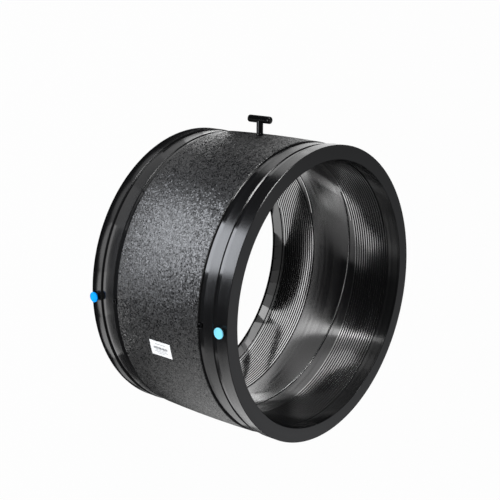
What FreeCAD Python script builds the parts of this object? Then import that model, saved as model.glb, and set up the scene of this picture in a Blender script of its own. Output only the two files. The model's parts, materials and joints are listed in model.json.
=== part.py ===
import FreeCAD, Part
import math
import os

# An electrofusion coupler for 400 mm polyethylene pipe, in millimetres.
# It stands on its lower mouth: Z is the bore's axis, and the origin is the middle of that mouth.
# Both halves are alike, so each end piece is made once for the lower end and once for the upper.

# The pipe, the bore and the wall
pipe_diameter = 400.0
pipe_clearance = 1.5
mouth_wall = 21.8
body_length = 265.0

# The outside, counted from each mouth: a ring, a groove, a second ring, a groove, then the barrel
end_ring_width = 19.6
outer_groove_width = 7.0
inner_ring_width = 18.2
inner_ring_drop = 1.2
inner_groove_width = 8.2
groove_depth = 2.6
barrel_taper = 30.0
barrel_rise = 1.5

# The sheathed heating wire, wound turn beside turn in two zones and led once round between them
cold_zone = 21.7
turns_per_zone = 16
turn_pitch = 4.4
winding_thickness = 1.5
crossing_turns = 1.045
crossing_start = 109.2
crossing_width = 3.8
crossing_height = 0.8
wire_width = 1.0
lay_gap = 0.03

# The two terminals, each in the middle of an end ring
terminal_bearing = -90.0
terminal_pin_radius = 2.35
pin_below_rim = 3.5
shroud_radius = 6.5
shroud_wall = 1.6
shroud_height = 4.6
shroud_depth = 9.0
cap_radius = 7.8
cap_thickness = 2.0
cap_plug_length = 2.8
push_fit = 0.05

# The two melt indicators, each in the middle of an inner groove
well_radius = 4.9
well_drop = 1.0
collar_radius = 3.8
collar_wall = 1.2
collar_height = 1.2
indicator_slip = 0.15
indicator_recess = 2.0

# The centre stop pin with its T handle
stop_bearing = 179.2
stop_radius = 5.0
stop_slip = 0.1
stop_reach = 10.0
shoulder_radius = 5.6
shoulder_height = 3.5
handle_stand = 24.3
handle_radius = 5.5
handle_length = 42.1
handle_end_chamfer = 1.0

# The label on the barrel
label_bearing = -76.1
label_height = 136.0
label_length = 40.0
label_width = 23.7
label_corner = 1.5
label_thickness = 0.3

# Radii, counted from the bore's axis
bore_radius = pipe_diameter / 2 + pipe_clearance
outer_radius = bore_radius + mouth_wall
seat_radius = bore_radius + winding_thickness
lead_radius = bore_radius + winding_thickness / 2
inner_ring_radius = outer_radius - inner_ring_drop
groove_floor_radius = outer_radius - groove_depth
barrel_radius = outer_radius + barrel_rise
shroud_floor = outer_radius - shroud_depth
shroud_rim = outer_radius + shroud_height
shroud_bore_radius = shroud_radius - shroud_wall
well_floor = groove_floor_radius - well_drop
collar_rim = outer_radius + collar_height
collar_bore_radius = collar_radius - collar_wall
handle_axis = barrel_radius + handle_stand

# Heights, counted from each mouth
zone_end = cold_zone + turns_per_zone * turn_pitch
outer_groove_end = end_ring_width + outer_groove_width
inner_ring_end = outer_groove_end + inner_ring_width
barrel_start = inner_ring_end + inner_groove_width
terminal_height = end_ring_width / 2
indicator_height = (inner_ring_end + barrel_start) / 2
middle = body_length / 2

ENDS = ("lower", "upper")


def at(radius, height):
    """A point of an outline in the half plane that is turned round the bore's axis."""
    return FreeCAD.Vector(radius, 0, height)


def loop(points):
    """A closed wire of straight edges through the points."""
    return Part.makePolygon(points + points[:1])


def turned(points, degrees=360):
    """The solid that a closed outline sweeps round the bore's axis."""
    return Part.Face(loop(points)).revolve(at(0, 0), at(0, 1), degrees)


def mirrored(points):
    """The same points on the other half of the coupler, in the opposite order."""
    return [at(p.x, body_length - p.z) for p in reversed(points)]


def from_mouth(end, distance):
    """The height of what lies this far from the named mouth."""
    return distance if end == "lower" else body_length - distance


def lying(radius, inner, outer):
    """A cylinder on the X axis between two distances from the bore's axis."""
    return Part.makeCylinder(radius, outer - inner, at(inner, 0), at(1, 0))


def placed(shape, bearing, height):
    """A copy of a piece made on the X axis, turned to its bearing and lifted to its height."""
    moved = shape.copy()
    moved.rotate(at(0, 0), at(0, 1), bearing)
    moved.translate(at(0, height))
    return moved


def body_blank():
    """The turned body before any hole. Inside each mouth a lip holds its wound zone in place."""
    outside = [
        at(outer_radius, 0),
        at(outer_radius, end_ring_width),
        at(groove_floor_radius, end_ring_width),
        at(groove_floor_radius, outer_groove_end),
        at(inner_ring_radius, outer_groove_end),
        at(inner_ring_radius, inner_ring_end),
        at(groove_floor_radius, inner_ring_end),
        at(groove_floor_radius, barrel_start),
        at(outer_radius, barrel_start),
        at(barrel_radius, barrel_start + barrel_taper),
    ]
    inside = [
        at(seat_radius, cold_zone),
        at(bore_radius, cold_zone),
        at(bore_radius, 0),
    ]
    return turned(outside + mirrored(outside) + mirrored(inside) + inside)


def at_terminal(shape, end):
    """A copy of a piece made on the X axis, set at the middle of an end ring."""
    return placed(shape, terminal_bearing, from_mouth(end, terminal_height))


def at_indicator(shape, end):
    """A copy of a piece made on the X axis, set at the middle of an inner groove."""
    return placed(shape, terminal_bearing, from_mouth(end, indicator_height))


def bosses(end):
    """The terminal's shroud and the melt indicator's collar, still without their holes."""
    shroud = lying(shroud_radius, shroud_floor, shroud_rim)
    collar = lying(collar_radius, well_floor, collar_rim)
    return [at_terminal(shroud, end), at_indicator(collar, end)]


def holes(end):
    """The shroud's bore, the holes of the terminal pin and the indicator, and the wire's channel."""
    shroud_bore = lying(shroud_bore_radius, shroud_floor, shroud_rim)
    pin_hole = lying(terminal_pin_radius + push_fit, lead_radius, shroud_floor)
    indicator_hole = lying(collar_bore_radius, bore_radius, collar_rim)
    return [
        at_terminal(shroud_bore, end),
        at_terminal(pin_hole, end),
        at_indicator(indicator_hole, end),
        coil_lead(end, push_fit),
    ]


def coupler_body():
    """The black polyethylene body, with both shrouds and both collars moulded on."""
    well = lying(well_radius, well_floor, barrel_radius)
    stop_hole = lying(stop_radius + stop_slip, bore_radius, barrel_radius + barrel_rise)
    body = body_blank().cut([at_indicator(well, end) for end in ENDS])
    body = body.fuse([boss for end in ENDS for boss in bosses(end)])
    body = body.cut([hole for end in ENDS for hole in holes(end)])
    return body.cut(placed(stop_hole, stop_bearing, middle))


def fusion_coil(end):
    """One wound zone as the sleeve that its fused turns make, level with the mouth's bore."""
    outer = seat_radius - lay_gap
    low = from_mouth(end, cold_zone)
    high = from_mouth(end, zone_end)
    return turned([at(bore_radius, low), at(outer, low), at(outer, high), at(bore_radius, high)])


def crossing_lead():
    """The wire's one long turn between the two wound zones, a low ridge inside the body."""
    half = crossing_width / 2
    first = zone_end + half + lay_gap
    rise = body_length - 2 * first
    base = seat_radius - lay_gap
    section = loop([at(base, -half), at(base, half), at(base - crossing_height, 0)])
    route = Part.makeHelix(rise / crossing_turns, rise, base)
    ridge = Part.Wire(route.Edges).makePipeShell([section], True, True)
    return placed(ridge, crossing_start, first)


def coil_lead(end, clearance=0.0):
    """The wire's straight end, from the wound zone to below the terminal pin."""
    width = wire_width + 2 * clearance
    tip = from_mouth(end, terminal_height - terminal_pin_radius)
    root = from_mouth(end, cold_zone)
    wire = Part.makeBox(width, width, abs(root - tip))
    wire.translate(FreeCAD.Vector(lead_radius - width / 2, -width / 2, min(root, tip)))
    return placed(wire, terminal_bearing, 0)


def terminal_pin(end):
    """The brass pin that the control box's lead is pushed on to."""
    pin = lying(terminal_pin_radius, lead_radius + wire_width / 2, shroud_rim - pin_below_rim)
    return at_terminal(pin, end)


def terminal_cap(end):
    """The coloured dust cap: a disc on the shroud's rim with a plug in its bore."""
    disc = lying(cap_radius, shroud_rim, shroud_rim + cap_thickness)
    plug = lying(shroud_bore_radius - push_fit, shroud_rim - cap_plug_length, shroud_rim)
    return at_terminal(disc.fuse(plug), end)


def indicator_pin(end):
    """The peg that melt lifts once the joint is fused. It is down, as on a new coupler."""
    peg = lying(collar_bore_radius - indicator_slip, seat_radius, collar_rim - indicator_recess)
    return at_indicator(peg, end)


def stop_pin():
    """The pull-out centre stop: a stem through the wall, a shoulder on the barrel and a T bar."""
    stem = lying(stop_radius, bore_radius - stop_reach, handle_axis)
    shoulder = lying(shoulder_radius, barrel_radius, barrel_radius + shoulder_height)
    bar = Part.makeCylinder(handle_radius, handle_length, at(handle_axis, -handle_length / 2))
    rims = [edge for edge in bar.Edges if edge.BoundBox.ZLength < lay_gap]
    bar = bar.makeChamfer(handle_end_chamfer, rims)
    return placed(stem.fuse([shoulder, bar]).removeSplitter(), stop_bearing, middle)


def label():
    """The sticker: a thin sheet curved round the barrel, with rounded corners."""
    low = label_height - label_length / 2
    high = label_height + label_length / 2
    under = barrel_radius + lay_gap
    over = barrel_radius + label_thickness
    spread = math.degrees(label_width / barrel_radius)
    sheet = turned([at(under, low), at(over, low), at(over, high), at(under, high)], spread)
    corners = [edge for edge in sheet.Edges if edge.Length < 2 * label_thickness]
    return placed(sheet.makeFillet(label_corner, corners), label_bearing - spread / 2, 0)


def main():
    os.makedirs("parts", exist_ok=True)
    pieces = {make.__name__: make() for make in (coupler_body, crossing_lead, stop_pin, label)}
    end_pieces = (fusion_coil, coil_lead, terminal_pin, terminal_cap, indicator_pin)
    for make in end_pieces:
        for end in ENDS:
            pieces[f"{end}_{make.__name__}"] = make(end)
    for name, shape in pieces.items():
        shape.exportStep(f"parts/{name}.step")
        print(f"{name}: {len(shape.Solids)} solid, {shape.Volume:.0f} cubic mm, valid {shape.isValid()}")


main()
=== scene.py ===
# %% [markdown]
# # A welding coupler for wide plastic pipe
# The object is a thick sleeve of black polyethylene. Two pipe ends are pushed into it, and a heating wire
# that is wound just below its bore melts pipe and sleeve together. Nearly everything on it was turned on a
# lathe, so most of this lesson is about round things: a turned body, wound turns, small turned fittings.
# The measured model comes first. It is loaded as a fixed frame, and every piece here takes its place from it.

# %% Load the measured model
import json
import math

import bmesh
import bpy
from mathutils import Matrix, Vector

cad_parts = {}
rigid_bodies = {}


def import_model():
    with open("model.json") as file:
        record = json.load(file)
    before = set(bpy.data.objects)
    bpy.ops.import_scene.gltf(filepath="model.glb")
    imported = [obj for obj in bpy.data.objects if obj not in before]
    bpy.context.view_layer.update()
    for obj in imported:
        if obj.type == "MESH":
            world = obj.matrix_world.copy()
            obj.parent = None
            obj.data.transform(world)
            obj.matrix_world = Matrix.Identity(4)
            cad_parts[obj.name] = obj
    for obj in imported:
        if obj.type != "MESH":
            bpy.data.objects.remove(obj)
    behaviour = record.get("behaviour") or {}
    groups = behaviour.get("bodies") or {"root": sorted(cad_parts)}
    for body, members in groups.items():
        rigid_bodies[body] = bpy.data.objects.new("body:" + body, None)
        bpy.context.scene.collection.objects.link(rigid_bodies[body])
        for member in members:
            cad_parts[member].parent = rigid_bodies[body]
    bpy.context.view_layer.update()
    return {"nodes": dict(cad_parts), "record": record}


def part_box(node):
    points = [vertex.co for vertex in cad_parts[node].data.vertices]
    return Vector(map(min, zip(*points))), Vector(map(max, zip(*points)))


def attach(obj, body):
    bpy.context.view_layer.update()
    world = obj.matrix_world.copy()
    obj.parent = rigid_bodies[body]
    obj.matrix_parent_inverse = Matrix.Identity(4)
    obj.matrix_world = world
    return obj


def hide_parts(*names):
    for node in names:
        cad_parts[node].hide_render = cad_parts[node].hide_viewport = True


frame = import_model()

# %% [markdown]
# ## Sizes
# Where the frame states a size, it is read from there: the mouths' radius from the record's bore, the heights
# from the boxes of the nodes. The frame doesn't state the widths of the rings and grooves, so they are named
# here, in metres. Both halves are alike, so every height is counted from a mouth.

# %% Sizes from the frame
MM = 0.001
mounts = {mount["name"]: mount for mount in frame["record"]["mounts"]}
body_low, body_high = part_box("coupler_body")
coil_low, coil_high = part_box("lower_fusion_coil")
cap_low, cap_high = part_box("lower_terminal_cap")
pin_low, pin_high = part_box("stop_pin")
indicator_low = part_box("lower_indicator_pin")[0]
label_low, label_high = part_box("label")
length = body_high[2] - body_low[2]
middle = length / 2
bore_radius = mounts["lower_socket"]["dims"]["r_mm"] * MM
barrel_radius = body_high[0]
winding_thickness = 1.5 * MM
seat_radius = bore_radius + winding_thickness
cold_zone = coil_low[2]
zone_end = coil_high[2]
print(f"bore {bore_radius:.4f}, barrel {barrel_radius:.4f}, length {length:.3f}")
print(f"wound from {cold_zone:.4f} to {zone_end:.4f}")

# %% Sizes of the rings and grooves
end_ring_width = 19.6 * MM
outer_groove_width = 7.0 * MM
inner_ring_width = 18.2 * MM
inner_groove_width = 8.2 * MM
groove_depth = 2.6 * MM
inner_ring_drop = 1.2 * MM
barrel_rise = 1.5 * MM
outer_radius = barrel_radius - barrel_rise
groove_radius = outer_radius - groove_depth
outer_groove_end = end_ring_width + outer_groove_width
inner_ring_end = outer_groove_end + inner_ring_width
barrel_start = inner_ring_end + inner_groove_width
terminal_height = end_ring_width / 2
indicator_height = (inner_ring_end + barrel_start) / 2
terminal_bearing = math.radians(-90)
winding_bearing = math.radians(109.2)
stop_bearing = math.radians(179.2)
print(f"ring {outer_radius:.4f}, groove {groove_radius:.4f}, barrel from {barrel_start:.4f}")

# %% [markdown]
# ## Helpers for node trees
# Shader trees and Geometry Nodes trees are both built in code. One helper adds a node and fills its sockets
# with values or links; the others start a shader group or a material. Short helpers keep each recipe readable.

# %% Node helpers
def add(tree, kind, inputs=None, **settings):
    """Adds a node. Each input is a value, or the output socket that feeds it."""
    made = tree.nodes.new(kind)
    for name, value in settings.items():
        setattr(made, name, value)
    for name, value in (inputs or {}).items():
        if isinstance(value, bpy.types.NodeSocket):
            tree.links.new(value, made.inputs[name])
        else:
            made.inputs[name].default_value = value
    return made


def math_node(tree, operation, first, second=0.0, clamp=False):
    """Adds a Math node and returns its output."""
    return add(tree, "ShaderNodeMath", {0: first, 1: second}, operation=operation, use_clamp=clamp).outputs[0]


def bump_node(tree, height, strength, distance):
    """Adds a Bump node and returns the normal that it makes."""
    made = add(tree, "ShaderNodeBump", {"Strength": strength, "Distance": distance, "Height": height})
    return made.outputs["Normal"]


def new_group(name, inputs, outputs):
    """Starts a shader node group with named sockets and returns it with its input and output nodes."""
    group = bpy.data.node_groups.new(name, "ShaderNodeTree")
    for label, kind, value in inputs:
        socket = group.interface.new_socket(label, in_out="INPUT", socket_type=kind)
        if value is not None:
            socket.default_value = value
    for label, kind in outputs:
        group.interface.new_socket(label, in_out="OUTPUT", socket_type=kind)
    return group, group.nodes.new("NodeGroupInput"), group.nodes.new("NodeGroupOutput")


def new_material(name, **plain):
    """Starts a material and sets the plain values of its Principled shader."""
    made = bpy.data.materials.new(name)
    made.use_nodes = True
    shader = made.node_tree.nodes["Principled BSDF"]
    for label, value in plain.items():
        shader.inputs[label.replace("_", " ")].default_value = value
    return made, made.node_tree, shader


print("helpers ready")

# %% [markdown]
# ## Turning marks
# A lathe tool leaves fine rings on everything it cuts. On the real coupler they run round the bore and show as
# soft streaks wherever light grazes it. Stretched noise makes them: along the axis it changes every half
# millimetre, and round the axis hardly at all. The group reads the radius and the height, so the same recipe
# works on a cylinder, where rings differ in height, and on a mouth's flat face, where they differ in radius.

# %% Turning marks as a shader group
turning_marks, marks_in, marks_out = new_group(
    "turning marks",
    [("Marks per metre", "NodeSocketFloat", 900.0), ("Waver", "NodeSocketFloat", 1.5)],
    [("Height", "NodeSocketFloat"), ("Streak", "NodeSocketFloat")],
)
place = add(turning_marks, "ShaderNodeTexCoord")
parts = add(turning_marks, "ShaderNodeSeparateXYZ", {0: place.outputs["Object"]})
flat_place = add(turning_marks, "ShaderNodeCombineXYZ", {0: parts.outputs[0], 1: parts.outputs[1]})
from_axis = add(turning_marks, "ShaderNodeVectorMath", {0: flat_place.outputs[0]}, operation="LENGTH")
along = math_node(turning_marks, "ADD", from_axis.outputs["Value"], parts.outputs[2])
rows = math_node(turning_marks, "MULTIPLY", along, marks_in.outputs["Marks per metre"])
round_it = add(turning_marks, "ShaderNodeVectorMath", {0: flat_place.outputs[0]}, operation="NORMALIZE")
waver = add(
    turning_marks,
    "ShaderNodeVectorMath",
    {0: round_it.outputs[0], "Scale": marks_in.outputs["Waver"]},
    operation="SCALE",
)
waver_parts = add(turning_marks, "ShaderNodeSeparateXYZ", {0: waver.outputs[0]})
marks_place = add(
    turning_marks, "ShaderNodeCombineXYZ", {0: waver_parts.outputs[0], 1: waver_parts.outputs[1], 2: rows}
)
for output, scale, detail in (("Height", 1.0, 3.0), ("Streak", 0.18, 2.0)):
    noise_inputs = {"Vector": marks_place.outputs[0], "Scale": scale, "Detail": detail}
    marks = add(turning_marks, "ShaderNodeTexNoise", noise_inputs)
    turning_marks.links.new(marks.outputs["Fac"], marks_out.inputs[output])
print("turning marks group:", len(turning_marks.nodes), "nodes")

# %% [markdown]
# ## Moulded grain
# The barrel between the rings keeps the skin of its mould, a fine stipple that sparkles like coarse leather.
# Voronoi cells give each grain its own height, its own gloss and its own tilt, and noise on top breaks their
# outlines. The tilt matters most. From a distance a grain is one dot, and it is lighter or darker than its
# neighbours because it faces another part of the room. The group's third output is the surface's normal,
# leaned a different way in each cell, and a finish that asks for a tilt uses it in place of a bump.

# %% Grain as a shader group
moulded_grain, grain_in, grain_out = new_group(
    "moulded grain",
    [
        ("Grain size", "NodeSocketFloat", 0.0018),
        ("Softness", "NodeSocketFloat", 0.6),
        ("Tilt", "NodeSocketFloat", 0.0),
    ],
    [("Height", "NodeSocketFloat"), ("Sparkle", "NodeSocketFloat"), ("Facing", "NodeSocketVector")],
)
place = add(moulded_grain, "ShaderNodeTexCoord")
density = math_node(moulded_grain, "DIVIDE", 1.0, grain_in.outputs["Grain size"])
grains = add(
    moulded_grain,
    "ShaderNodeTexVoronoi",
    {"Vector": place.outputs["Object"], "Scale": density, "Smoothness": grain_in.outputs["Softness"]},
    feature="SMOOTH_F1",
)
grain_parts = add(moulded_grain, "ShaderNodeSeparateColor", {0: grains.outputs["Color"]})
finer = math_node(moulded_grain, "MULTIPLY", density, 1.4)
rough_edge = add(
    moulded_grain, "ShaderNodeTexNoise", {"Vector": place.outputs["Object"], "Scale": finer, "Detail": 1.0}
)
both = math_node(moulded_grain, "ADD", grain_parts.outputs[0], rough_edge.outputs["Fac"])
halved = math_node(moulded_grain, "MULTIPLY", both, 0.5)
moulded_grain.links.new(halved, grain_out.inputs["Height"])
moulded_grain.links.new(grain_parts.outputs[1], grain_out.inputs["Sparkle"])
surface = add(moulded_grain, "ShaderNodeNewGeometry")
facing = grains.outputs["Color"]
for operation, inputs in (
    ("SUBTRACT", {1: (0.5, 0.5, 0.5)}),
    ("SCALE", {"Scale": grain_in.outputs["Tilt"]}),
    ("ADD", {1: surface.outputs["Normal"]}),
    ("NORMALIZE", {}),
):
    facing = add(moulded_grain, "ShaderNodeVectorMath", {0: facing, **inputs}, operation=operation).outputs[0]
moulded_grain.links.new(facing, grain_out.inputs["Facing"])
print("grain group:", len(moulded_grain.nodes), "nodes")

# %% [markdown]
# ## The black plastics
# All of the body is one plastic, but its finish differs: turned rings are smooth and mirror the room in soft
# bands, the moulded barrel is stippled, and the bore is satin with turning marks. The winding has two: the
# crests of its turns are polished, and the valleys between them are matt and stay dark. Each finish is a
# material of its own. The plastic itself is nearly black, so what the eye sees is almost only reflection. That
# is why roughness and bump matter far more here than the colour does.

# %% A black plastic with a chosen finish
BLACK = (0.0030, 0.0031, 0.0034, 1.0)


def black_plastic(
    name, roughness, group, settings, height_share, distance, gloss_share, turned=0.0, dust=0.004, ior=1.54
):
    """Black polyethylene whose bump, gloss and faint paler dust come from one of the two groups."""
    made, tree, shader = new_material(name, Roughness=roughness, IOR=ior)
    if turned:
        round_axis = add(tree, "ShaderNodeTangent", direction_type="RADIAL", axis="Z")
        tree.links.new(round_axis.outputs[0], shader.inputs["Tangent"])
        shader.inputs["Anisotropic"].default_value = turned
        shader.inputs["Anisotropic Rotation"].default_value = 0.25
    effect = add(tree, "ShaderNodeGroup", node_tree=group)
    for label, value in settings.items():
        effect.inputs[label].default_value = value
    bumped = bump_node(tree, effect.outputs[0], height_share, distance)
    tree.links.new(effect.outputs["Facing"] if settings.get("Tilt") else bumped, shader.inputs["Normal"])
    gloss = add(
        tree,
        "ShaderNodeMapRange",
        {
            "Value": effect.outputs[1],
            "From Min": 0.3,
            "From Max": 0.7,
            "To Min": roughness - gloss_share,
            "To Max": roughness + gloss_share,
        },
    )
    tree.links.new(gloss.outputs["Result"], shader.inputs["Roughness"])
    paler = tuple(share + dust for share in BLACK[:3]) + (1.0,)
    tint = add(tree, "ShaderNodeMix", {0: effect.outputs[1], 6: BLACK, 7: paler}, data_type="RGBA")
    tree.links.new(tint.outputs[2], shader.inputs["Base Color"])
    return made


coarse_marks, fine_marks, wire_marks = ({"Marks per metre": per_metre} for per_metre in (500.0, 900.0, 300.0))
barrel_grain = {"Grain size": 0.0017, "Softness": 0.15, "Tilt": 0.55}
valley_grain = {"Grain size": 0.001}
ring_finish = black_plastic("turned ring", 0.24, turning_marks, coarse_marks, 0.03, 0.0002, 0.03, 0.5)
groove_finish = black_plastic("turned groove", 0.10, turning_marks, fine_marks, 0.01, 0.0002, 0.02, 0.3)
barrel_finish = black_plastic(
    "stippled barrel", 0.37, moulded_grain, barrel_grain, 1.0, 0.0016, 0.12, dust=0.04
)
bore_finish = black_plastic("turned bore", 0.15, turning_marks, fine_marks, 0.05, 0.0003, 0.04, 0.95)
wire_finish = black_plastic(
    "wire crest", 0.13, turning_marks, wire_marks, 0.01, 0.0002, 0.03, dust=0.0, ior=2.3
)
valley_finish = black_plastic(
    "wire valley", 0.55, moulded_grain, valley_grain, 0.1, 0.0002, 0.1, dust=0.0, ior=1.2
)
finishes = (ring_finish, groove_finish, barrel_finish, bore_finish, wire_finish, valley_finish)
print("finishes:", [finish.name for finish in finishes])

# %% [markdown]
# ## The turned body
# One section swept round a circle makes the whole body, as the lathe did. The section is a flat curve whose
# points carry their own rounding: each point's radius is the radius of that edge. A Geometry Nodes tree rounds
# the corners with Fillet Curve and sweeps the section with Curve to Mesh, so the number of facets and the
# width of every rounding can be changed at any time. Real edges are never sharp, and the thin bright line that
# each groove draws in the light is nothing but its rounded edge.

# %% The section of the body
edge_rounding = 1.0 * MM
inner_rounding = 0.25 * MM
mouth_rounding = 0.6 * MM
lip_rounding = 0.2 * MM
wall_middle = (bore_radius + outer_radius) / 2


def crown(steps=14):
    """The barrel's slightly crowned line from its lower to its upper edge, as radius and height."""
    half = middle - barrel_start
    for step in range(1, steps):
        share = step / steps * 2 - 1
        yield barrel_radius - barrel_rise * share**2, middle + share * half, 0.0


half_outside = [
    (outer_radius, 0.0, mouth_rounding),
    (outer_radius, end_ring_width, edge_rounding),
    (groove_radius, end_ring_width, inner_rounding),
    (groove_radius, outer_groove_end, inner_rounding),
    (outer_radius - inner_ring_drop, outer_groove_end, edge_rounding),
    (outer_radius - inner_ring_drop, inner_ring_end, edge_rounding),
    (groove_radius, inner_ring_end, inner_rounding),
    (groove_radius, barrel_start, inner_rounding),
    (outer_radius, barrel_start, edge_rounding),
]
half_inside = [
    (seat_radius, cold_zone, 0.0),
    (bore_radius, cold_zone, lip_rounding),
    (bore_radius, 0.0, mouth_rounding),
]
other_half = [(r, length - z, rounding) for r, z, rounding in reversed(half_outside)]
other_inside = [(r, length - z, rounding) for r, z, rounding in reversed(half_inside)]
section_points = half_outside + list(crown()) + other_half + other_inside + half_inside
print("section corners:", len(section_points))


# %% A flat curve from such a list
def section_curve(name, points, path_radius, centre_height):
    """A closed flat curve: X is the distance from the path, Y runs down, and each radius is a rounding."""
    curve = bpy.data.curves.new(name, "CURVE")
    curve.dimensions = "3D"
    spline = curve.splines.new("POLY")
    spline.points.add(len(points) - 1)
    for point, (r, z, rounding) in zip(spline.points, points):
        point.co = (r - path_radius, centre_height - z, 0.0, 1.0)
        point.radius = rounding
    spline.use_cyclic_u = True
    made = bpy.data.objects.new(name, curve)
    bpy.context.scene.collection.objects.link(made)
    return made


body_section = section_curve("body_section", section_points, wall_middle, 0.0)
print(body_section.name, len(body_section.data.splines[0].points), "points")

# %% [markdown]
# ## A tree that sweeps a section round the axis
# The tree has named inputs for the path and for the smoothness of the rounding. Set Curve Normal turns the
# path's normals to lie flat, so the section stays upright all the way round. The path node differs between the
# body, which is a plain circle, and the wire, which climbs, so the function takes the path as a choice.

# %% The sweeping tree
def sweep_tree(name, material, climbs):
    """A Geometry Nodes tree that sweeps the incoming section along a circle or along a helix."""
    tree = bpy.data.node_groups.new(name, "GeometryNodeTree")
    tree.interface.new_socket("Section", in_out="INPUT", socket_type="NodeSocketGeometry")
    for label, kind, value in (
        ("Path radius", "NodeSocketFloat", 0.2),
        ("Steps per turn", "NodeSocketInt", 360),
        ("Steps per corner", "NodeSocketInt", 3),
        ("Turns", "NodeSocketFloat", 1.0),
        ("Climb", "NodeSocketFloat", 0.0),
        ("Start angle", "NodeSocketFloat", 0.0),
        ("Start height", "NodeSocketFloat", 0.0),
    ):
        tree.interface.new_socket(label, in_out="INPUT", socket_type=kind).default_value = value
    tree.interface.new_socket("Mesh", in_out="OUTPUT", socket_type="NodeSocketGeometry")
    given = tree.nodes.new("NodeGroupInput").outputs
    rounding = add(tree, "GeometryNodeInputRadius")
    rounded = add(
        tree,
        "GeometryNodeFilletCurve",
        {"Curve": given["Section"], "Radius": rounding.outputs[0], "Limit Radius": True},
        mode="POLY",
    )
    tree.links.new(given["Steps per corner"], rounded.inputs["Count"])
    if climbs:
        path = add(
            tree,
            "GeometryNodeCurveSpiral",
            {
                "Resolution": given["Steps per turn"],
                "Rotations": given["Turns"],
                "Start Radius": given["Path radius"],
                "End Radius": given["Path radius"],
                "Height": given["Climb"],
                "Reverse": True,
            },
        )
    else:
        path = add(
            tree,
            "GeometryNodeCurvePrimitiveCircle",
            {"Resolution": given["Steps per turn"], "Radius": given["Path radius"]},
            mode="RADIUS",
        )
    upright = add(tree, "GeometryNodeSetCurveNormal", {"Curve": path.outputs[0]}, mode="Z_UP")
    even = add(tree, "GeometryNodeSetCurveRadius", {"Curve": upright.outputs[0], "Radius": 1.0})
    swept = add(
        tree,
        "GeometryNodeCurveToMesh",
        {"Curve": even.outputs[0], "Profile Curve": rounded.outputs[0], "Fill Caps": climbs},
    )
    turn = add(tree, "ShaderNodeCombineXYZ", {2: given["Start angle"]})
    lift = add(tree, "ShaderNodeCombineXYZ", {2: given["Start height"]})
    set_up = add(
        tree,
        "GeometryNodeTransform",
        {"Geometry": swept.outputs[0], "Rotation": turn.outputs[0], "Translation": lift.outputs[0]},
    )
    smooth = add(tree, "GeometryNodeSetShadeSmooth", {"Geometry": set_up.outputs[0]})
    real = add(tree, "GeometryNodeRealizeInstances", {"Geometry": smooth.outputs[0]})
    dressed = add(tree, "GeometryNodeSetMaterial", {"Geometry": real.outputs[0], "Material": material})
    out = add(tree, "NodeGroupOutput")
    tree.links.new(dressed.outputs[0], out.inputs[0])
    return tree


body_tree = sweep_tree("turned body", ring_finish, climbs=False)
wire_tree = sweep_tree("wound wire", wire_finish, climbs=True)
print("trees:", body_tree.name, len(body_tree.nodes), "nodes;", wire_tree.name, len(wire_tree.nodes), "nodes")


# %% Turn a section with its tree into a plain mesh
def tidy_mesh(mesh):
    """Merges what meets at seams and makes all faces point outwards."""
    work = bmesh.new()
    work.from_mesh(mesh)
    bmesh.ops.remove_doubles(work, verts=work.verts, dist=1e-6)
    bmesh.ops.recalc_face_normals(work, faces=work.faces)
    if work.calc_volume(signed=True) < 0:
        bmesh.ops.reverse_faces(work, faces=work.faces)
    work.to_mesh(mesh)
    work.free()
    mesh.update()


def plain_mesh(piece):
    """The mesh of a piece as its modifiers leave it."""
    depsgraph = bpy.context.evaluated_depsgraph_get()
    ready = piece.evaluated_get(depsgraph)
    return bpy.data.meshes.new_from_object(ready, preserve_all_data_layers=True, depsgraph=depsgraph)


def swept_piece(name, section, tree, sizes):
    """Runs the tree on the section with the given sizes and keeps the result as a plain mesh object."""
    modifier = section.modifiers.new("sweep", "NODES")
    modifier.node_group = tree
    for item in tree.interface.items_tree:
        if item.in_out == "INPUT" and item.name in sizes:
            modifier[item.identifier] = sizes[item.name]
    section.update_tag()
    mesh = plain_mesh(section)
    mesh.name = name
    section.modifiers.remove(modifier)
    bpy.data.objects.remove(section)
    tidy_mesh(mesh)
    made = bpy.data.objects.new(name, mesh)
    bpy.context.scene.collection.objects.link(made)
    print(name, len(mesh.polygons), "faces")
    return made


turned_body = swept_piece(
    "turned_body",
    body_section,
    body_tree,
    {"Path radius": wall_middle, "Steps per turn": 480, "Steps per corner": 1},
)

# %% [markdown]
# ## Wells for the melt indicators
# In each inner groove, below a terminal, a small well is sunk round the melt indicator. It is wider than the
# groove, so it bites into the ring on one side and the barrel on the other. A boolean cut is the honest way to
# make it: the cutter is a plain peg that lies on the radius, and the body keeps its own shape elsewhere.


# %% A turned fitting that lies on a radius
def turned_fitting(name, outline, height, bearing=terminal_bearing, steps=64):
    """Spins an outline of (distance from the bore's axis, radius) points round a radius of the body."""
    work = bmesh.new()
    chain = [work.verts.new((along, radius, 0.0)) for along, radius in outline]
    edges = [work.edges.new(pair) for pair in zip(chain, chain[1:])]
    bmesh.ops.spin(
        work,
        geom=chain + edges,
        cent=(0, 0, 0),
        axis=(1, 0, 0),
        angle=math.tau,
        steps=steps,
        use_merge=True,
    )
    bmesh.ops.remove_doubles(work, verts=work.verts, dist=1e-6)
    mesh = bpy.data.meshes.new(name)
    work.to_mesh(mesh)
    work.free()
    mesh.transform(Matrix.Translation((0, 0, height)) @ Matrix.Rotation(bearing, 4, "Z"))
    tidy_mesh(mesh)
    mesh.shade_smooth()
    made = bpy.data.objects.new(name, mesh)
    bpy.context.scene.collection.objects.link(made)
    return made


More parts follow.
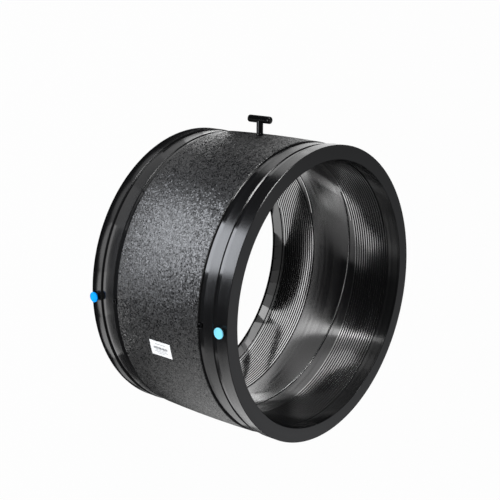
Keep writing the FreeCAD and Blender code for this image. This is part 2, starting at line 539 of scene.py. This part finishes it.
def rounded(outline, rounding, steps=4):
    """Rounds the inner corners of an open outline with arcs drawn through short bends."""
    result = [outline[0]]
    for before, corner, after in zip(outline, outline[1:], outline[2:]):
        start = Vector(before) - Vector(corner)
        end = Vector(after) - Vector(corner)
        reach = min(rounding, start.length / 2, end.length / 2)
        first = Vector(corner) + start.normalized() * reach
        last = Vector(corner) + end.normalized() * reach
        for step in range(steps + 1):
            share = step / steps
            one = first.lerp(Vector(corner), share)
            two = Vector(corner).lerp(last, share)
            result.append(tuple(one.lerp(two, share)))
    return result + [outline[-1]]


well_radius = 4.9 * MM
well_floor = groove_radius - 1.0 * MM
cutter_end = barrel_radius + 10 * MM
for end_height in (indicator_height, length - indicator_height):
    cutter = turned_fitting(
        "well_cutter",
        [(well_floor, 0), (well_floor, well_radius), (cutter_end, well_radius), (cutter_end, 0)],
        end_height,
    )
    cut = turned_body.modifiers.new("well", "BOOLEAN")
    cut.object = cutter
    cut.solver = "EXACT"
    turned_body.data = plain_mesh(turned_body)
    turned_body.modifiers.clear()
    bpy.data.objects.remove(cutter)
print("body with wells:", len(turned_body.data.polygons), "faces")

# %% [markdown]
# ## Each zone of the body gets its finish
# The body is one mesh, but the barrel, the bore, the rings and the grooves have different finishes. Each face
# is sorted by where its middle lies. Weighted Normal then lets the large faces decide the shading, so that the
# narrow rounded edges shine and the flats beside them stay flat.

# %% Sort the faces
turned_body.data.materials.clear()
for finish in (ring_finish, barrel_finish, bore_finish, groove_finish):
    turned_body.data.materials.append(finish)
for face in turned_body.data.polygons:
    centre = face.center
    radius = math.hypot(centre.x, centre.y)
    from_mouth = min(centre.z, length - centre.z)
    on_barrel = from_mouth > barrel_start and radius > outer_radius - 0.5 * MM
    in_bore = radius < seat_radius + 0.3 * MM
    in_groove = from_mouth > end_ring_width and radius < groove_radius + 0.2 * MM
    face.material_index = 1 if on_barrel else 2 if in_bore else 3 if in_groove else 0
turned_body.data.shade_smooth()
turned_body.data.set_sharp_from_angle(angle=math.radians(40))


def even_shading(piece):
    """Lets the large faces of a piece decide its shading, and keeps the result in its mesh."""
    weighted = piece.modifiers.new("even shading", "WEIGHTED_NORMAL")
    weighted.keep_sharp = True
    weighted.weight = 80
    piece.data = plain_mesh(piece)
    piece.modifiers.clear()


even_shading(turned_body)
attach(turned_body, "root")
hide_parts("coupler_body")
print("finishes on the body:", len(turned_body.data.materials))

# %% [markdown]
# ## The wound zones
# The sheathed wire lies turn beside turn, sixteen turns to a zone, fused into one ribbed sleeve. In the light
# each turn is a thin bright line. The same sweeping tree makes them: the section is one turn, with a narrow
# flat crest level with the bore and two flanks that fall into the valleys, and the path is a helix that climbs
# one width per turn. The crest keeps the polished finish, and every face below it gets the matt one, so a
# bright line is always next to a dark one.

# %% One turn's section and the two zones
turns = 16
pitch = (zone_end - cold_zone) / turns
back = seat_radius - 0.03 * MM
half_turn = [
    (back, pitch / 2, 0.0),
    (bore_radius + 1.3 * MM, pitch / 2, 0.0),
    (bore_radius + 0.9 * MM, pitch * 0.36, 0.0),
    (bore_radius, pitch * 0.22, 0.12 * MM),
]
turn_section = [(r, -z, rounding) for r, z, rounding in half_turn] + half_turn[::-1]
wire_middle = (bore_radius + seat_radius) / 2
for end, low in (("lower", cold_zone), ("upper", length - zone_end)):
    zone = swept_piece(
        f"{end}_wound_zone",
        section_curve(f"{end}_turn", turn_section, wire_middle, 0.0),
        wire_tree,
        {
            "Path radius": wire_middle,
            "Steps per turn": 256,
            "Turns": float(turns - 1),
            "Climb": (turns - 1) * pitch,
            "Start height": low + pitch / 2,
            "Start angle": winding_bearing,
        },
    )
    zone.data.materials.append(valley_finish)
    for face in zone.data.polygons:
        below_crest = math.hypot(face.center.x, face.center.y) > bore_radius + 0.1 * MM
        face.material_index = int(below_crest)
    zone.data.set_sharp_from_angle(angle=math.radians(25))
    even_shading(zone)
    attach(zone, "root")
    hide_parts(f"{end}_fusion_coil")

# %% [markdown]
# ## The crossing
# Between the zones the wire is led once round the bore in one long climbing turn. It stands a little proud of
# the wall and catches the light as a single bright line.

# %% The crossing lead
crossing_low, crossing_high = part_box("crossing_lead")
crossing_width = 3.8 * MM
crossing_rise = 0.8 * MM
half_crossing = [
    (back, crossing_width / 2, 0.0),
    (back - crossing_rise * 0.75, crossing_width * 0.22, 0.4 * MM),
]
crossing_crest = (back - crossing_rise, 0.0, 0.4 * MM)
other_side = [(r, -z, rounding) for r, z, rounding in half_crossing]
crossing_section = other_side + [crossing_crest] + half_crossing[::-1]
crossing = swept_piece(
    "crossing_wire",
    section_curve("crossing_section", crossing_section, back, 0.0),
    wire_tree,
    {
        "Path radius": back,
        "Steps per turn": 360,
        "Turns": 1.045,
        "Climb": crossing_high[2] - crossing_low[2] - crossing_width,
        "Start height": crossing_low[2] + crossing_width / 2,
        "Start angle": winding_bearing,
    },
)
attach(crossing, "root")
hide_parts("crossing_lead")

# %% [markdown]
# ## Terminals and melt indicators
# Each end ring carries a terminal socket under a coloured dust cap, and beside it in the groove sits a melt
# indicator. All of these are small turned parts that lie on a radius of the body, so one helper spins each of
# them from its outline, with its corners rounded first.

# %% Caps, shrouds, collars and indicator pins
shroud_radius = 6.5 * MM
shroud_bore = 4.9 * MM
shroud_root = outer_radius - 4 * MM
cap_radius = (cap_high[0] - cap_low[0]) / 2
cap_face = -cap_low[1]
dished_face = cap_face - 0.4 * MM
shroud_rim = cap_face - 2.0 * MM
plug_end = shroud_rim - 2.8 * MM
plug_radius = shroud_bore - 0.05 * MM
collar_radius = 3.8 * MM
collar_bore = 2.6 * MM
collar_root = well_floor - 1 * MM
indicator_radius = 2.45 * MM
indicator_top = -indicator_low[1]
collar_rim = indicator_top + 2.0 * MM


def soft_plastic(name, colour, roughness=0.4, ior=1.48):
    """A soft coloured plastic with a faint unevenness in its gloss."""
    made, tree, shader = new_material(name, Base_Color=(*colour, 1.0), Roughness=roughness, IOR=ior)
    effect = add(tree, "ShaderNodeGroup", node_tree=moulded_grain)
    effect.inputs["Grain size"].default_value = 0.0012
    tree.links.new(bump_node(tree, effect.outputs["Height"], 0.05, 0.0002), shader.inputs["Normal"])
    return made


cap_colours = {
    "lower": soft_plastic("azure cap", (0.0, 0.26, 0.83), ior=1.08),
    "upper": soft_plastic("turquoise cap", (0.20, 0.66, 0.85)),
}
soft_grain = {"Grain size": 0.004, "Softness": 1.0}
gloss_black = black_plastic(
    "glossy black", 0.08, moulded_grain, soft_grain, 0.05, 0.0002, 0.03, dust=0.0, ior=1.4
)


def fit(piece, finish, slot, *nodes):
    """Gives a finished piece its material and its body, and hides the nodes that it stands for. The slot is not
    used.
    """
    piece.data.materials.clear()
    piece.data.materials.append(finish)
    even_shading(piece)
    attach(piece, "root")
    for node in nodes:
        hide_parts(node)


def rod_outline(first, last, radius):
    """The outline of a plain rod between two distances from the bore's axis."""
    return [(first, 0.0), (first, radius), (last, radius), (last, 0.0)]


def tube_outline(first, last, outer, inner):
    """The closed outline of a plain tube between two distances from the bore's axis."""
    return [(first, outer), (last, outer), (last, inner), (first, inner), (first, outer)]


shroud_outline = rounded(tube_outline(shroud_root, shroud_rim, shroud_radius, shroud_bore), 0.4 * MM)
collar_outline = rounded(tube_outline(collar_root, collar_rim, collar_radius, collar_bore), 0.45 * MM)
peg_outline = rounded(rod_outline(seat_radius, indicator_top, indicator_radius), 0.5 * MM)
cap_corners = [
    (plug_end, 0.0),
    (plug_end, plug_radius),
    (shroud_rim, plug_radius),
    (shroud_rim, cap_radius),
    (cap_face, cap_radius),
    (cap_face, cap_radius * 0.84),
    (dished_face, cap_radius * 0.76),
    (dished_face, 0.0),
]
cap_outline = rounded(cap_corners, 0.5 * MM)
for end, terminal_z, indicator_z in (
    ("lower", terminal_height, indicator_height),
    ("upper", length - terminal_height, length - indicator_height),
):
    shroud = turned_fitting(f"{end}_shroud", shroud_outline, terminal_z)
    fit(shroud, ring_finish, "body")
    cap = turned_fitting(f"{end}_cap", cap_outline, terminal_z)
    fit(cap, cap_colours[end], "azure_cap" if end == "lower" else "turquoise_cap", f"{end}_terminal_cap")
    collar = turned_fitting(f"{end}_collar", collar_outline, indicator_z, steps=48)
    fit(collar, gloss_black, "body")
    peg = turned_fitting(f"{end}_indicator", peg_outline, indicator_z, steps=48)
    fit(peg, gloss_black, "indicator", f"{end}_indicator_pin")
print("fittings done")

# %% [markdown]
# ## The centre stop
# A glossy black pin goes through the middle of the wall and stops the pipes halfway. A T handle on its head is
# there to pull it out again. It is two turned rods that meet, so each is spun as a piece of its own, and both
# stand for the one measured pin.

# %% The stop pin
stop_tip = bore_radius - 10 * MM
handle_radius = 5.5 * MM
handle_top = barrel_radius + 24.3 * MM + handle_radius
handle_axis = handle_top - handle_radius
handle_half = (pin_high[2] - pin_low[2]) / 2
stem_radius = 5.0 * MM
shoulder_radius = 5.6 * MM
shoulder_foot = barrel_radius - 0.5 * MM
stem_outline = [
    (stop_tip, 0.0),
    (stop_tip, stem_radius),
    (shoulder_foot, stem_radius),
    (shoulder_foot, shoulder_radius),
    (barrel_radius + 3.5 * MM, shoulder_radius),
    (barrel_radius + 3.9 * MM, stem_radius),
    (handle_axis, stem_radius),
]
stem = turned_fitting("stop_pin_stem", rounded(stem_outline, 0.6 * MM), middle, bearing=stop_bearing)
bar_outline = rod_outline(-handle_half, handle_half, handle_radius)
bar = turned_fitting("stop_pin_bar", rounded(bar_outline, 2.6 * MM, steps=8), 0.0, bearing=0.0)
bar.data.transform(
    Matrix.Rotation(stop_bearing, 4, "Z")
    @ Matrix.Translation((handle_axis, 0, middle))
    @ Matrix.Rotation(math.radians(90), 4, "Y")
)
fit(stem, gloss_black, "stop", "stop_pin")
fit(bar, gloss_black, "stop", "stop_pin")
print("stop pin from", round(stop_tip, 4), "to", round(handle_top, 4))

# %% [markdown]
# ## The label
# A small white sticker sits low on the barrel. Its sheet follows the curve of the wall. Its print is only
# suggested here, with rows of plain dark blocks: one bold row and four thin ones, bent round the barrel in the
# same way.

# %% A patch that lies on the barrel
label_bearing = math.atan2((label_low[1] + label_high[1]) / 2, (label_low[0] + label_high[0]) / 2)
label_half_height = (label_high[2] - label_low[2]) / 2
label_middle = (label_high[2] + label_low[2]) / 2
label_half_width = 23.7 * MM / 2
paper_thickness = 0.25 * MM
sheet_radius = barrel_radius + 0.28 * MM


def curved_patch(name, boxes, radius, thickness, steps=12):
    """Thin plates on a cylinder. Each box is (left, right, low, high) in metres, measured along the surface."""
    work = bmesh.new()
    for left, right, low, high in boxes:
        count = max(2, round(steps * (right - left) / (2 * label_half_width)))
        rows = []
        for step in range(count + 1):
            angle = label_bearing + (left + (right - left) * step / count) / barrel_radius
            spot = Vector((math.cos(angle), math.sin(angle), 0))
            over = radius + thickness
            corners = ((radius, low), (over, low), (over, high), (radius, high))
            rows.append([work.verts.new(spot * r + Vector((0, 0, label_middle + z))) for r, z in corners])
        for one, two in zip(rows, rows[1:]):
            for side in range(4):
                work.faces.new((one[side], one[side - 1], two[side - 1], two[side]))
        work.faces.new(rows[0])
        work.faces.new(reversed(rows[-1]))
    mesh = bpy.data.meshes.new(name)
    work.to_mesh(mesh)
    work.free()
    tidy_mesh(mesh)
    made = bpy.data.objects.new(name, mesh)
    bpy.context.scene.collection.objects.link(made)
    return made


paper = soft_plastic("sticker paper", (0.88, 0.89, 0.90), 0.5)
print_ink = soft_plastic("sticker print", (0.10, 0.10, 0.11), 0.5)
sheet = curved_patch(
    "sticker",
    [(-label_half_width, label_half_width, -label_half_height, label_half_height)],
    sheet_radius - paper_thickness,
    paper_thickness,
)
fit(sheet, paper, "sticker", "label")
print("label bearing", round(math.degrees(label_bearing), 1))

# %% The print as plain bars
across = label_half_height * 1.35
bars = []
for offset, depth, blocks, share in (
    (-7.8, 0.9, 9, 0.72),
    (-2.8, 3.4, 12, 1.0),
    (1.9, 0.8, 16, 0.8),
    (4.6, 0.8, 13, 1.0),
    (7.2, 0.7, 7, 0.55),
):
    left = offset * MM
    reach = across * share
    for block in range(blocks):
        start = -reach / 2 + reach * block / blocks
        filled = 0.6 + 0.25 * ((block * 7) % 3) / 2
        bars.append((left, left + depth * MM, start, start + reach / blocks * filled))
printing = curved_patch("sticker_print", bars, sheet_radius - 0.02 * MM, 0.04 * MM, steps=2)
fit(printing, print_ink, "sticker")
print("bars on the label:", len(bars))

# %% [markdown]
# ## What stays as measured
# The terminal pins and the wire's straight ends are inside the wall. Their measured solids stay and only get
# their metal.

# %% Metals for the hidden pieces
brass, brass_tree, brass_shader = new_material(
    "terminal brass", Base_Color=(0.72, 0.53, 0.26, 1.0), Metallic=1.0, Roughness=0.3
)
effect = add(brass_tree, "ShaderNodeGroup", node_tree=turning_marks)
effect.inputs["Marks per metre"].default_value = 2500.0
bumped = bump_node(brass_tree, effect.outputs["Height"], 0.1, 0.0002)
brass_tree.links.new(bumped, brass_shader.inputs["Normal"])
kept = ("lower_terminal_pin", "upper_terminal_pin", "lower_coil_lead", "upper_coil_lead")
for name in kept:
    for slot in frame["nodes"][name].material_slots:
        slot.material = brass
print("kept as measured:", kept)

# %% [markdown]
# ## The stage
# The photograph has a plain white ground. The floor is pale and lit plainly. Seen by the camera or in a mirror
# it also glows, so that it reads as white while it still takes the object's soft shadow. It is wide enough to
# reach the horizon in low views. A glossy black object on a white table would look grey, so photographers lay
# a dark cloth where the object mirrors the table. Here the cloth is seen by mirror rays only.


# %% A flat sheet of the stage
def stage_sheet(name, paint_name, half_width, height=0.0, corners=4):
    """A level regular sheet with an empty material. Returns the sheet and the material's node tree."""
    mesh = bpy.data.meshes.new(name)
    work = bmesh.new()
    if corners == 4:
        bmesh.ops.create_grid(work, x_segments=1, y_segments=1, size=half_width)
    else:
        bmesh.ops.create_circle(work, cap_ends=True, radius=half_width, segments=corners)
    work.to_mesh(mesh)
    work.free()
    paint = bpy.data.materials.new(paint_name)
    paint.use_nodes = True
    paint.node_tree.nodes.clear()
    mesh.materials.append(paint)
    sheet = bpy.data.objects.new(name, mesh)
    sheet.location.z = height
    bpy.context.scene.collection.objects.link(sheet)
    return sheet, paint.node_tree


# %% The floor
floor, tree = stage_sheet("floor", "pale floor", 60.0)
matte = add(tree, "ShaderNodeBsdfDiffuse", {"Color": (0.35, 0.35, 0.36, 1.0)})
white = add(tree, "ShaderNodeEmission", {"Color": (1, 1, 1, 1), "Strength": 1.0})
seen = add(tree, "ShaderNodeLightPath")
either = math_node(tree, "MAXIMUM", seen.outputs["Is Camera Ray"], seen.outputs["Is Glossy Ray"])
any_of_them = math_node(tree, "MAXIMUM", either, seen.outputs["Is Transmission Ray"])
glow = math_node(tree, "MULTIPLY", any_of_them, 0.98)
shown = add(tree, "ShaderNodeMixShader", {0: glow, 1: matte.outputs[0], 2: white.outputs[0]})
add(tree, "ShaderNodeOutputMaterial", {"Surface": shown.outputs[0]})
print("floor ready")

# %% A dark cloth for the mirror image
cloth, tree = stage_sheet("dark_cloth", "dark cloth", 4.0, height=0.5 * MM, corners=64)
weave_place = add(tree, "ShaderNodeTexCoord")
weave = add(tree, "ShaderNodeTexNoise", {"Vector": weave_place.outputs["Object"], "Scale": 3.0})
shade = add(
    tree,
    "ShaderNodeMix",
    {0: weave.outputs["Fac"], 6: (0.03, 0.03, 0.032, 1.0), 7: (0.045, 0.045, 0.048, 1.0)},
    data_type="RGBA",
)
matte = add(tree, "ShaderNodeBsdfDiffuse", {"Color": shade.outputs[2]})
add(tree, "ShaderNodeOutputMaterial", {"Surface": matte.outputs[0]})
for kind in ("camera", "diffuse", "transmission", "volume_scatter", "shadow"):
    setattr(cloth, f"visible_{kind}", False)
print("cloth ready")

# %% [markdown]
# ## Light
# A black glossy thing is lit by what it mirrors. The camera looks down at upright walls, so the walls mirror
# what lies low around the object. Cards that lie on the floor and shine upwards draw the bright bands:
#
# - wide cards outside, a little way off, for the broad bands on the barrel and both upper rings;
# - foot cards close round the base, for the lower rings, which mirror only the floor at their feet;
# - wide cards inside the bore, and three narrow ones above them in a line, for the light streak across it;
# - lip cards close inside the lower mouth, for the plain strip between the mouth and the winding.
#
# The key lamp stands in front and lights the caps and the label. Mirror rays don't see it, because the flanks
# of the winding would turn it into white patches. One more lamp, high up behind, draws thin bright lines along
# the edges. The room is dim and grows lighter only in the direction that the mouth's flat face mirrors. For the
# camera it is plain white.


# %% Panels of light
CARD_HEIGHT = 4 * MM
COOL = (0.91, 0.94, 1.0)


def panel(name, place, target, width, depth, power, colour=(1, 1, 1)):
    """A rectangular soft light at a place, turned to face a target."""
    lamp = bpy.data.lights.new(name, "AREA")
    lamp.shape = "RECTANGLE"
    lamp.size = width
    lamp.size_y = depth
    lamp.energy = power
    lamp.color = colour
    made = bpy.data.objects.new(name, lamp)
    made.location = place
    made.rotation_euler = (Vector(target) - Vector(place)).to_track_quat("-Z", "Y").to_euler()
    made.visible_camera = False
    bpy.context.scene.collection.objects.link(made)
    return made


def lying_card(name, x, y, direction, width, depth, radiance, colour=(1, 1, 1), height=CARD_HEIGHT):
    """A panel that lies level and shines upwards. Its width runs along the direction in degrees."""
    power = radiance * math.pi * width * depth
    made = panel(name, (x, y, height), (x, y, 1.0), width, depth, power, colour)
    made.rotation_euler = (math.pi, 0, math.radians(direction))
    return made


def floor_card(name, azimuth, spread, near, far, radiance, colour=(1, 1, 1), height=CARD_HEIGHT):
    """A lying card between two distances from the bore's axis, and the spread in degrees to each side."""
    angle = math.radians(azimuth)
    reach = (near + far) / 2
    width = 2 * reach * math.tan(math.radians(spread))
    x, y = reach * math.cos(angle), reach * math.sin(angle)
    return lying_card(name, x, y, azimuth - 90, width, far - near, radiance, colour, height)


def softbox(name, azimuth, distance, width, low, high, radiance, colour=(1, 1, 1)):
    """An upright panel that stands at a bearing, faces the bore's axis and reaches from low to high."""
    angle = math.radians(azimuth)
    place = Vector((distance * math.cos(angle), distance * math.sin(angle), (low + high) / 2))
    power = radiance * math.pi * width * (high - low)
    return panel(name, place, (0, 0, middle), width, high - low, power, colour)


# %% Cards outside the coupler
floor_card("main card", -123, 14.5, 0.30, 0.64, 8.0, COOL)
floor_card("side card", -100, 9, 0.28, 0.42, 2.2, COOL)
floor_card("left card", 165, 14, 0.43, 0.66, 1.7)
floor_card("far left card", 132, 18, 0.40, 0.66, 1.6)
floor_card("right card", -21, 45, 0.45, 0.72, 2.0)
floor_card("near right card", -30, 34, 0.30, 0.44, 0.8)
foot_cards = (
    (170, 6, 0.234, 0.262, 3.2),
    (-178, 6, 0.236, 0.262, 2.2),
    (-165, 8, 0.236, 0.270, 0.8),
    (-148, 10, 0.229, 0.260, 0.6),
    (-128, 10, 0.229, 0.260, 0.8),
    (-109, 10, 0.229, 0.243, 2.0),
    (-90, 10, 0.229, 0.243, 2.6),
    (-70, 10, 0.226, 0.241, 2.0),
    (-50, 10, 0.2245, 0.232, 0.7),
    (-30, 10, 0.2245, 0.232, 0.45),
)
for azimuth, spread, near, far, radiance in foot_cards:
    floor_card(f"foot card {azimuth}", azimuth, spread, near, far, radiance)
print("cards round the foot:", len(foot_cards))

# %% Two lamps
softbox("front softbox", -80, 2.0, 1.0, 0.5, 1.2, 14.0).visible_glossy = False
softbox("edge lamp", 178, 1.6, 0.9, 1.25, 1.55, 25.0)
print("key lamp in front, edge lamp behind")

# %% Cards inside the bore
lying_card("bore left near", -0.0862, 0.0226, 45, 0.29, 0.07, 1.3)
lying_card("bore left far", -0.1022, 0.0987, 45, 0.265, 0.06, 3.0)
lying_card("streak near", -0.140, -0.060, 45, 0.127, 0.017, 6.5, height=0.006)
lying_card("streak middle", -0.0375, 0.0325, 39.6, 0.149, 0.018, 7.5, height=0.0065)
lying_card("streak far", 0.0575, 0.1090, 39, 0.095, 0.010, 5.0, height=0.006)
lying_card("bore back", 0.116, 0.115, 25, 0.075, 0.040, 3.4)
lying_card("bore right near", 0.100, -0.005, 90, 0.19, 0.06, 1.0)
lying_card("bore right far", 0.158, -0.005, 90, 0.19, 0.056, 2.5)
lip_radiances = (2.4, 1.7, 1.1, 0.9, 7.5, 1.7, 1.1, 0.7, 0.45, 0.4, 0.4, 0.3, 0.25, 0.25)
for step, radiance in enumerate(lip_radiances):
    floor_card(f"lip card {step}", 30 + 6 * step, 3, 0.174, 0.2005, radiance, height=0.0045)
print("cards along the lip:", len(lip_radiances))

# %% The room
world = bpy.data.worlds.new("pale room")
world.use_nodes = True
tree = world.node_tree
tree.nodes["Background"].inputs["Color"].default_value = (0.96, 0.97, 1.0, 1.0)
lightest = (0.43, 0.57, 0.70)
towards = add(tree, "ShaderNodeTexCoord")
nearness = add(
    tree, "ShaderNodeVectorMath", {0: towards.outputs["Generated"], 1: lightest}, operation="DOT_PRODUCT"
)
shade = add(
    tree,
    "ShaderNodeMapRange",
    {"Value": nearness.outputs["Value"], "From Min": 0.9, "From Max": 0.985, "To Min": 0.12, "To Max": 0.62},
    interpolation_type="SMOOTHSTEP",
)
seen = add(tree, "ShaderNodeLightPath")
shown = math_node(tree, "MAXIMUM", shade.outputs["Result"], seen.outputs["Is Camera Ray"])
tree.links.new(shown, tree.nodes["Background"].inputs["Strength"])
bpy.context.scene.world = world

# %% [markdown]
# ## The camera
# The camera stands where the photograph's did, worked out from the two mouths' ellipses. The picture is
# turned, because the photographed coupler lay with its stop pin up while this one stands on its mouth.

# %% Camera
camera_data = bpy.data.cameras.new("camera")
camera_data.lens = 73.72
camera_data.sensor_width = 36.0
camera = bpy.data.objects.new("camera", camera_data)
right = Vector((-0.0030, 0.6436, 0.7654)).normalized()
towards_eye = Vector((-0.2571, -0.7402, 0.6214)).normalized()
upwards = towards_eye.cross(right).normalized()
right = upwards.cross(towards_eye)
turned_frame = Matrix((right, upwards, towards_eye)).transposed().to_4x4()
camera.matrix_world = Matrix.Translation((-0.4544, -1.1817, 1.1088)) @ turned_frame
bpy.context.scene.collection.objects.link(camera)
bpy.context.scene.camera = camera
bpy.context.scene.view_settings.view_transform = "Standard"
print("camera at", tuple(round(v, 3) for v in camera.matrix_world.translation))
